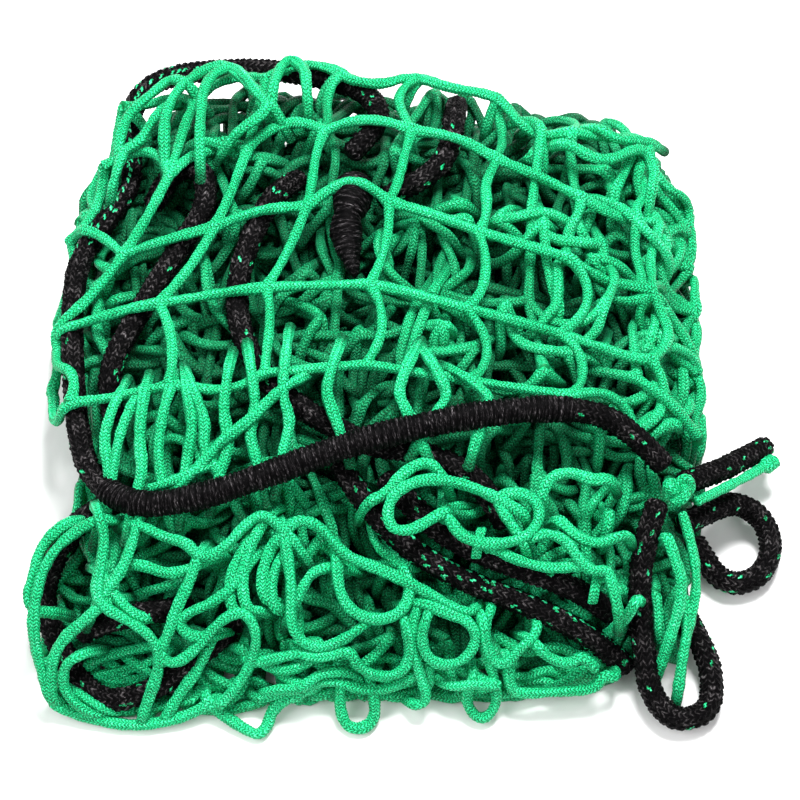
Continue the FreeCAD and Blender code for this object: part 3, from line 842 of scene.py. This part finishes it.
def waves(a, b, count, length):
    """A smooth random field: the sum of some plane waves of about that length."""
    total = np.zeros_like(a)
    for _ in range(count):
        heading, phase = rng.uniform(0, 2 * math.pi, 2)
        number = 2 * math.pi / (length * rng.uniform(0.7, 1.4))
        total += np.sin(number * (a * math.cos(heading) + b * math.sin(heading)) + phase)
    return total / math.sqrt(count / 2)


class Net:
    """Point numbers of a sheet of square meshes, and the pairs of points that hold each other."""

    def __init__(self, across, along):
        knots = (across + 1) * (along + 1)
        self.across, self.along = across, along
        self.knot = np.arange(knots).reshape(across + 1, along + 1)
        inner = SEGMENTS - 1
        first = knots + across * (along + 1) * inner
        bars = np.arange(knots, first).reshape(across, along + 1, inner)
        falls = np.arange(first, first + (across + 1) * along * inner).reshape(across + 1, along, inner)
        self.count = first + falls.size
        self.bar = np.concatenate([self.knot[:-1, :, None], bars, self.knot[1:, :, None]], axis=2)
        self.fall = np.concatenate([self.knot[:, :-1, None], falls, self.knot[:, 1:, None]], axis=2)
        self.legs = np.concatenate([self.bar.reshape(-1, SEGMENTS + 1), self.fall.reshape(-1, SEGMENTS + 1)])
        self.place_points()
        self.name_neighbours()
        self.pair_points()

    def place_points(self):
        """Each point's place on the flat sheet, counted in meshes."""
        self.i, self.j = np.zeros(self.count), np.zeros(self.count)
        share = np.arange(SEGMENTS + 1) / SEGMENTS
        for legs, step_i, step_j in ((self.bar, 1, 0), (self.fall, 0, 1)):
            i, j = np.meshgrid(*[np.arange(n) for n in legs.shape[:2]], indexing="ij")
            self.i[legs] = i[:, :, None] + share * step_i
            self.j[legs] = j[:, :, None] + share * step_j

    def name_neighbours(self):
        """Each point's leg and its nearest knot, so that neighbours on a cord aren't pushed apart."""
        self.leg, self.rank = np.full(self.count, -1), np.zeros(self.count, int)
        self.home, self.away = np.arange(self.count), np.zeros(self.count, int)
        for k in range(1, SEGMENTS):
            points = self.legs[:, k]
            self.leg[points], self.rank[points] = np.arange(len(self.legs)), k
            self.home[points] = self.legs[:, 0 if k <= SEGMENTS // 2 else SEGMENTS]
            self.away[points] = min(k, SEGMENTS - k)

    def pair_points(self):
        """Groups of pairs in which no point appears twice, for each distance along a leg."""
        self.links, bends, arches, chords = [], [], [], []
        for legs in (self.bar.reshape(-1, SEGMENTS + 1), self.fall.reshape(-1, SEGMENTS + 1)):
            self.links += [(legs[:, k:SEGMENTS:2].ravel(), legs[:, k + 1:SEGMENTS + 1:2].ravel())
                           for k in (0, 1)]
            bends += [(legs[:, rows].ravel(), legs[:, [r + 2 for r in rows]].ravel())
                      for rows in ([0, 1, 4, 5], [2, 3, 6])]
            arches += [(legs[:, rows].ravel(), legs[:, [r + 4 for r in rows]].ravel())
                       for rows in ([0, 1, 2, 3], [4])]
        for legs in (self.bar[::2], self.bar[1::2], self.fall[:, ::2], self.fall[:, 1::2]):
            ends = legs.reshape(-1, SEGMENTS + 1)
            chords.append((ends[:, 0], ends[:, SEGMENTS]))
        self.springs = [(bends, *BENDS), (arches, *ARCHES), (chords, *CHORDS)]


def zigzag(value):
    """0..1..0 back and forth, and the number of the pass."""
    number = np.floor(value).astype(int)
    share = value - number
    return np.where(number % 2 == 0, share, 1 - share), number


def passes(net):
    """Where each point is on its pass across and its pass back, and the numbers of those passes."""
    cells_i, cells_j = DRAPE_CELLS
    beyond_i, beyond_j = net.i - cells_i, net.j - cells_j
    across = zigzag(np.where(beyond_i <= 0, net.i / cells_i, 1 + beyond_i / PASS_CELLS[0]))
    back = zigzag(np.where(beyond_j <= 0, net.j / cells_j, 1 + beyond_j / PASS_CELLS[1]))
    return across, back


def fold_levels(pass_x, pass_y):
    """The level of the bundle that each point is on, counted from the top, and how many there are."""
    across_count, back_count = pass_x.max() + 1, pass_y.max() + 1
    level = pass_y * across_count + np.where(pass_y % 2 == 0, pass_x, across_count - 1 - pass_x)
    return level, across_count * back_count


def fold_lines(net, pass_y):
    """y of the front and rear ends of each point's pass. Deeper passes reach further to the front."""
    run = net.i * MESH_SIDE
    deeper = np.clip(pass_y - 1, 0, None) / (pass_y.max() - 1)
    waver = FRONT_WAVER * waves(run, pass_y * 0.3, 4, WAVER_LENGTH)
    front = DEEPER_FRONT - DEEPER_REACH * deeper ** 0.5 + waver
    front = np.where(pass_y == 0, DRAPE_FRONT, np.clip(front, FRONTMOST, FRONT_LIMIT))
    return front, FOLD_REAR + REAR_WAVER * waves(run, pass_y * 0.3, 4, WAVER_LENGTH)


def crumple(net, level, points):
    """Shifts and lifts each level under the drape by smooth random fields of its own."""
    for number in range(1, level.max() + 1):
        here = level == number
        a, b = net.i[here] * MESH_SIDE, net.j[here] * MESH_SIDE
        for axis in (0, 1):
            points[here, axis] += sum(size * waves(a, b, 5, length) for size, length in CRUMPLES)
        points[here, 2] = 0.005 * waves(a, b, 6, 0.06)


def fold_net(net):
    """The folded sheet before it settles: the drape, then passes back and forth under it."""
    (share_x, pass_x), (share_y, pass_y) = passes(net)
    level, count = fold_levels(pass_x, pass_y)
    front, rear = fold_lines(net, pass_y)
    x = FOLD_LEFT + (FOLD_RIGHT - FOLD_LEFT) * share_x
    points = np.stack([x, front + (rear - front) * share_y, np.zeros(net.count)], axis=1)
    crumple(net, level, points)
    points += bow_out(net)
    points[:, :2] = np.clip(points[:, :2], PILE_FROM, PILE_TO)
    top = top_of_pile(points[:, 0], points[:, 1])
    points[:, 2] = np.clip(top * (1 - (level + 0.5) / count) + points[:, 2], 0.003, top)
    on_top = (net.i <= DRAPE_CELLS[0]) & (net.j <= DRAPE_CELLS[1])
    stay_inside(points, on_top)
    points[on_top] = drape_points(net.i[on_top], net.j[on_top])
    return points, on_top


def bow_out(net):
    """Mesh sides that the folds gather bow out, most of them towards the front."""
    moves = np.zeros((net.count, 3))
    bow = np.sin(math.pi * np.arange(1, SEGMENTS) / SEGMENTS)
    shape = net.bar.shape[:2]
    heading = rng.normal(-0.5 * math.pi, 0.9, shape)
    size = BOW * rng.uniform(0.4, 1.0, shape)
    lean = rng.normal(0.0, 0.3, shape)
    shift = np.stack([np.cos(heading), np.sin(heading), lean], axis=-1) * size[..., None]
    moves[net.bar[:, :, 1:-1]] = shift[:, :, None, :] * bow[:, None]
    return moves


def drape_points(i, j):
    """The open meshes on top, between their knots."""
    lattice = np.array(DRAPE_KNOTS) / 1000
    left = np.clip(np.floor(i).astype(int), 0, DRAPE_CELLS[0] - 1)
    near = np.clip(np.floor(j).astype(int), 0, DRAPE_CELLS[1] - 1)
    a, b = (i - left)[:, None], (j - near)[:, None]
    front = lattice[near, left] * (1 - a) + lattice[near, left + 1] * a
    behind = lattice[near + 1, left] * (1 - a) + lattice[near + 1, left + 1] * a
    flat = front * (1 - b) + behind * b
    flat[:, 0] += 0.0022 * waves(i, j, 6, 1.1)
    flat[:, 1] += 0.0022 * waves(i, j, 6, 1.1)
    over_splice = 0.006 * np.exp(-((flat[:, 0] + 0.014) / 0.018) ** 2 - ((flat[:, 1] - 0.075) / 0.035) ** 2)
    return np.column_stack([flat, top_of_pile(flat[:, 0], flat[:, 1]) + 0.004 + over_splice])


def clear_ropes(points, movable, lines, reach=0.010, behind=0.011):
    """Cords in front of a rope, as seen from the bundle's open upper side, are laid behind it."""
    outward = np.array(OPEN_SIDE)
    outward /= np.linalg.norm(outward)
    level = np.array([1.0, 0.0, 0.0])
    upward = np.cross(outward, level)
    number = np.nonzero(movable)[0]
    seen = points[number] @ np.stack([level, upward], axis=1)
    depth = points[number] @ outward
    for line in lines:
        for place in evenly(line, 0.004)[0]:
            near = ((seen - [place @ level, place @ upward]) ** 2).sum(1) < reach ** 2
            near &= depth > place @ outward - behind
            move = depth[near] - (place @ outward - behind)
            depth[near] -= move
            points[number[near]] -= move[:, None] * outward
    points[:, 2] = np.maximum(points[:, 2], CORD_WIDTH / 2)


class RopeField:
    """A coarse grid that says which rope point is nearest, so that cords are kept out of the ropes."""

    def __init__(self, lines, radii):
        lines = [evenly(line, 0.002)[0] for line in lines]
        self.points = np.concatenate(lines)
        self.radii = np.concatenate([np.full(len(line), r) for line, r in zip(lines, radii)])
        self.low, self.size = np.array(FIELD_CORNER), np.array(FIELD_CELLS)
        self.nearest, self.best = np.full(self.size, -1), np.full(self.size, FIELD_REACH)
        for number, point in enumerate(self.points):
            self.mark(number, point)

    def mark(self, number, point):
        """Gives the point to the cells near it that no earlier point is nearer to."""
        start = np.maximum(((point - FIELD_REACH - self.low) / FIELD_CELL).astype(int), 0)
        stop = np.minimum(((point + FIELD_REACH - self.low) / FIELD_CELL).astype(int) + 2, self.size)
        part = tuple(slice(a, b) for a, b in zip(start, stop))
        axes = [self.low[k] + FIELD_CELL * (np.arange(start[k], stop[k]) + 0.5) for k in range(3)]
        away = np.linalg.norm(np.stack(np.meshgrid(*axes, indexing="ij"), -1) - point, axis=-1)
        closer = away < self.best[part]
        self.best[part] = np.where(closer, away, self.best[part])
        self.nearest[part] = np.where(closer, number, self.nearest[part])

    def push(self, points):
        """Moves the points that lie inside a rope out to its surface."""
        index = np.clip(((points - self.low) / FIELD_CELL).astype(int), 0, self.size - 1)
        number = self.nearest[index[:, 0], index[:, 1], index[:, 2]]
        close = np.nonzero(number >= 0)[0]
        away = points[close] - self.points[number[close]]
        distance = np.linalg.norm(away, axis=1) + 1e-12
        needed = self.radii[number[close]] + CORD_WIDTH / 2
        inside = distance < needed
        push = away[inside] * ((needed - distance) / distance)[inside, None]
        points[close[inside]] += push


def near_pairs(points, net, reach):
    """Pairs of points closer than reach that aren't neighbours on a cord or at a knot."""
    cell = ((points - points.min(0) + reach) / reach).astype(np.int64)
    rows, stack = cell[:, 1].max() + 3, cell[:, 2].max() + 3
    key = ((cell[:, 0] + 1) * rows + cell[:, 1] + 1) * stack + cell[:, 2] + 1
    order = np.argsort(key, kind="stable")
    key = key[order]
    found = []
    for right, up in ((0, 0), (0, 1), (1, -1), (1, 0), (1, 1)):
        base = key + (right * rows + up) * stack
        start, stop = np.searchsorted(key, base - 1, "left"), np.searchsorted(key, base + 1, "right")
        many = stop - start
        a = np.repeat(np.arange(len(key)), many)
        b = np.repeat(start, many) + np.arange(many.sum()) - np.repeat(np.cumsum(many) - many, many)
        keep = a < b if right == up == 0 else slice(None)
        found.append((order[a[keep]], order[b[keep]]))
    a, b = (np.concatenate(side) for side in zip(*found))
    close = ((points[a] - points[b]) ** 2).sum(1) < reach ** 2
    a, b = a[close], b[close]
    same_leg = (net.leg[a] == net.leg[b]) & (np.abs(net.rank[a] - net.rank[b]) <= 2) & (net.leg[a] >= 0)
    same_knot = (net.home[a] == net.home[b]) & (net.away[a] + net.away[b] <= 3)
    apart = ~(same_leg | same_knot)
    return a[apart], b[apart]


def hold_distance(points, pairs, length, free, strength=1.0, only_spread=False):
    """Moves the points of each pair towards that distance, or only apart up to it."""
    a, b = pairs
    across = points[b] - points[a]
    distance = np.sqrt((across * across).sum(1)) + 1e-12
    error = distance - length
    if only_spread:
        error = np.minimum(error, 0)
    weight_a, weight_b = free[a], free[b]
    step = (strength * error / distance / np.maximum(weight_a + weight_b, 1e-9))[:, None] * across
    points[a] += step * weight_a[:, None]
    points[b] -= step * weight_b[:, None]


def push_apart(points, pairs, size, free):
    """Moves the points of each pair apart up to size, all at once and more gently where many pairs meet."""
    a, b = pairs
    across = points[b] - points[a]
    distance = np.sqrt((across * across).sum(1)) + 1e-12
    touch = distance < size
    a, b, across, distance = a[touch], b[touch], across[touch], distance[touch]
    weight_a, weight_b = free[a], free[b]
    step = (size - distance) / distance / np.maximum(weight_a + weight_b, 1e-9)
    count = len(points)
    shared = np.bincount(a, minlength=count) + np.bincount(b, minlength=count)
    ease = 0.9 / np.sqrt(np.maximum(shared, 1))
    for axis in range(3):
        move = step * across[:, axis]
        forth, back = np.bincount(b, move * weight_b, count), np.bincount(a, move * weight_a, count)
        points[:, axis] += ease * (forth - back)


def stay_inside(points, on_top):
    """Keeps the points within the bundle's outline and off the floor; the drape may hang out on the left."""
    front, rear = (np.interp(points[:, 0], *zip(*edge)) for edge in (FRONT_EDGE, REAR_EDGE))
    points[:, 1] = np.clip(points[:, 1], front, rear)
    left, right = (np.interp(points[:, 1], *zip(*edge)) for edge in (LEFT_EDGE, RIGHT_EDGE))
    points[:, 0] = np.clip(points[:, 0], np.where(on_top, DRAPE_LEFT, left), right)
    points[:, 2] = np.clip(points[:, 2], LOWEST, HIGHEST)


def hold_cords(net, points, free):
    """Keeps the cords' length, and keeps them from folding sharply."""
    for link in net.links:
        hold_distance(points, link, SEGMENT, free)
    for groups, span, strength in net.springs:
        for pairs in groups:
            hold_distance(points, pairs, SEGMENT * span, free, strength, True)


def settle(net, points, on_top, field, rope_lines):
    """Lets the folded net fall and swell to its cord's width. The drape's knots are held until LET_GO."""
    free = np.ones(net.count)
    free[net.knot[:DRAPE_CELLS[0] + 1, :DRAPE_CELLS[1] + 1].ravel()] = 0.0
    before = points.copy()
    growing = int(STEPS * GROWN)
    for step in range(STEPS):
        if step == int(STEPS * LET_GO):
            free[:] = 1.0
        if step in (growing, int(STEPS * CLEARED_AGAIN)):
            clear_ropes(points, ~on_top, rope_lines)
            before = points.copy()
        size = CORD_WIDTH * (0.45 + 0.55 * min(1.0, step / growing))
        speed = np.clip((points - before) * DAMPING, -FASTEST, FASTEST)
        before = points.copy()
        points = points + speed * free[:, None]
        if step > growing / 2:
            points[:, 2] -= GRAVITY * free
        if step % 4 == 0:
            pairs = near_pairs(points, net, size + 0.0026)
        for turn in range(3):
            hold_cords(net, points, free)
            if turn != 1:
                push_apart(points, pairs, size, free)
            field.push(points)
        over = np.maximum(points[:, 2] - top_of_pile(points[:, 0], points[:, 1]), 0) * free
        points[:, 2] -= 0.25 * over
        stay_inside(points, on_top)
    return points


# ==== the net's cords ====

def strands(net):
    """Every row of mesh sides across the net and every row along it, as one line of points."""
    rows = [net.bar[:, j] for j in range(net.along + 1)] + [net.fall[i] for i in range(net.across + 1)]
    return [np.concatenate([row[0, :1], row[:, 1:].ravel()]) for row in rows]


def smooth_line(control, first, last, rings):
    """Cubic B-spline through the control points from first to last, with so many rings between two."""
    padded = np.vstack([2 * control[0] - control[1], control, 2 * control[-1] - control[-2]])
    t = np.arange(rings) / rings
    middle = [3 * t ** 3 - 6 * t ** 2 + 4, -3 * t ** 3 + 3 * t ** 2 + 3 * t + 1]
    basis = np.stack([(1 - t) ** 3, *middle, t ** 3], axis=1) / 6
    near = np.stack([padded[k + first:k + last] for k in range(4)], axis=1)
    line = np.einsum("tk,nkc->ntc", basis, near).reshape(-1, control.shape[1])
    end = (padded[last] + 4 * padded[last + 1] + padded[last + 2]) / 6
    return np.vstack([line, end])


def layer_of(net, cord):
    """Which layer each piece of a cord belongs to: 0 is the drape, 1 the rest of its pass, then each pass."""
    i, j = ((v[cord[1:]] + v[cord[:-1]]) / 2 for v in (net.i, net.j))
    number = 2 + np.floor(np.maximum(j - DRAPE_CELLS[1], 0) / PASS_CELLS[1]).astype(int)
    first = np.where(i <= DRAPE_CELLS[0], 0, 1)
    return np.where(j <= DRAPE_CELLS[1], first, number)


def layer_runs(net, points):
    """For each layer, its stretches of cord: control points, and the first and last that it takes."""
    runs = {}
    for cord in strands(net):
        placed = points[cord]
        layer = layer_of(net, cord)
        cuts = [0, *(np.nonzero(np.diff(layer))[0] + 1), len(layer)]
        for first, last in zip(cuts, cuts[1:]):
            runs.setdefault(int(layer[first]), []).append((placed, first, last))
    return runs


def swelling(along):
    """The cord is thicker at its knots, where two cords are knitted through each other."""
    from_knot = (along + MESH_SIDE / 2) % MESH_SIDE - MESH_SIDE / 2
    return 1 + KNOT_SWELL * np.exp(-(from_knot / KNOT_REACH) ** 2)


def drawn_out(line, count):
    """The line with points added straight on from its end, count in all."""
    on = np.arange(1, count - len(line) + 1)[:, None]
    return np.vstack([line, line[-1] + (line[-1] - line[-2]) * on])


def add_runs(tube, runs, sides, rings, relief):
    """The tubes of one layer. All are framed together, so each line is drawn out to the longest one."""
    lines = [smooth_line(placed, first, last, rings) for placed, first, last in runs]
    longest = max(len(line) for line in lines)
    first_axes, second_axes = frames_along(np.stack([drawn_out(line, longest) for line in lines]))
    lobes = np.where(np.arange(sides) % 2 == 0, 0.95, 1.04)
    for line, (_, start, _), first, second in zip(lines, runs, first_axes, second_axes):
        along = (start + np.arange(len(line)) / rings) * SEGMENT
        if relief:
            radii = CORD_WIDTH / 2 * 0.97 + relief * (net_relief(along, sides) - 0.5)
        else:
            radii = CORD_WIDTH / 2 * np.broadcast_to(lobes, (len(line), sides))
        radii = radii * swelling(along)[:, None] * soft_section(along, sides)
        tube.add(line, first[:len(line)], second[:len(line)], along, radii)
        # painted shade: the deeper a cord lies under the bundle's top, the darker its colour
        under = (top_of_pile(line[:, 0], line[:, 1]) - line[:, 2] - SHADE_FROM) / SHADE_DEPTH
        tube.depths.append(np.repeat(np.clip(under, 0.0, 1.0), sides))


def buried_end(name, end, before):
    """Points that take a cord's end on and down, and inwards where it is low at the front."""
    way = np.array(end) - before
    way[2] = 0.0
    way /= np.linalg.norm(way) + 1e-9
    if name == "net_front_loops" and end[2] < TURNS_IN_BELOW:
        inwards = np.array([-end[0], -end[1], 0.0])
        way += TURN_IN * inwards * (np.linalg.norm(inwards) / 0.15 ** 2)
        way /= np.linalg.norm(way) + 1e-9
    steps = [np.array(end) + way * on - (0, 0, down) for on, down in BURIED_STEPS[name]]
    return [(x, y, max(z, 0.003)) for x, y, z in steps]


def loose_lines():
    """For each piece, the lines of its loose cords: the stretches that show, and with their buried ends."""
    shown, whole = [], {}
    for name, cords in LOOSE_CORDS.items():
        for number, cord in enumerate(map(metres, cords)):
            start, end = buried_end(name, cord[0], cord[1])[::-1], buried_end(name, cord[-1], cord[-2])
            line = spline_points(f"{name}_{number}", [*start, *cord, *end])
            line[:, 2] = np.maximum(line[:, 2], LOWEST)
            whole.setdefault(name, []).append(line)
            shown.append(spline_points(f"{name}_{number}", cord))
    whole["net_loose_end"] = [spline_points("net_loose_end", metres(LOOSE_END))]
    return shown + whole["net_loose_end"], whole


def make_loose_cords(lines):
    """The loose cords, with painted shade that darkens them towards their buried ends."""
    for name, cords in lines.items():
        tube = TubeMesh(NET_WALES, NET_STITCH)
        for line in cords:
            along = add_knitted_cord(tube, line, LOOSE_WIDTH, LOOSE_STEP)
            # painted shade on the last stretch of each buried end
            painted_end_shade = np.interp(np.minimum(along, along[-1] - along), BURIED_SHADE, (1.0, 0.0))
            tube.depths.append(np.repeat(painted_end_shade * (name != "net_loose_end"), DRAPE_SIDES))
        finish_piece(tube, name, [GREEN_NET], HELD_BY[name])


def make_layers(net, points):
    """Each layer of the settled net, as a sheet that rests on the next one."""
    for number, runs in sorted(layer_runs(net, points).items()):
        name, node, held = LAYERS[number]
        tube = TubeMesh(NET_WALES, NET_STITCH)
        if number == 0:
            add_runs(tube, runs, DRAPE_SIDES, DRAPE_RINGS, DRAPE_RELIEF)
        else:
            add_runs(tube, runs, PILE_SIDES, PILE_RINGS, 0.0)
        layer = finish_piece(tube, name, [GREEN_NET], node)


# ==== everything together ====

def make_ropes():
    """Every rope and tie with its line."""
    made, lines = {}, {}
    for name in ROUTES:
        made[name], lines[name] = (make_rope if name.startswith("rope") else make_tie_strand)(name)
    return made, lines


def make_net(lines, splice_line):
    """Folds the net round the ropes and the loose cords, lets it settle, and makes its pieces."""
    net = Net(CELLS_ACROSS, CELLS_ALONG)
    points, on_top = fold_net(net)
    rope_lines = [*lines.values(), splice_line]
    clear_ropes(points, ~on_top, rope_lines)
    shown, whole = loose_lines()
    clear_ropes(points, ~on_top, shown, 0.005, 0.005)
    clearances = [TIE_CLEARANCE if name.startswith("tie") else ROPE_CLEARANCE for name in lines]
    clearances += [SPLICE_CLEARANCE] + [LOOSE_CLEARANCE] * len(shown)
    field = RopeField(rope_lines + shown, clearances)
    make_layers(net, settle(net, points, on_top, field, rope_lines))
    make_loose_cords(whole)


make_camera()
make_lights()
make_floor()
GREEN_NET = green_knit_material("green_net_cord", with_painted_shade=True)
GREEN_TIE = green_knit_material("green_tie_cord", 1.05)
GREEN_KNIT = green_knit_material("green_thread_in_rope", 0.8)
BLACK_KNIT = black_knit_material()
TWINE = twine_material()

ropes, lines = make_ropes()
whipping = make_whipping(lines["rope_front_run"])
splice, splice_line = make_splice()
knot = make_tie_knot()
lacings = [make_lacing(node) for node in ("tie_lacing_left", "tie_lacing_right")]
make_net(lines, splice_line)
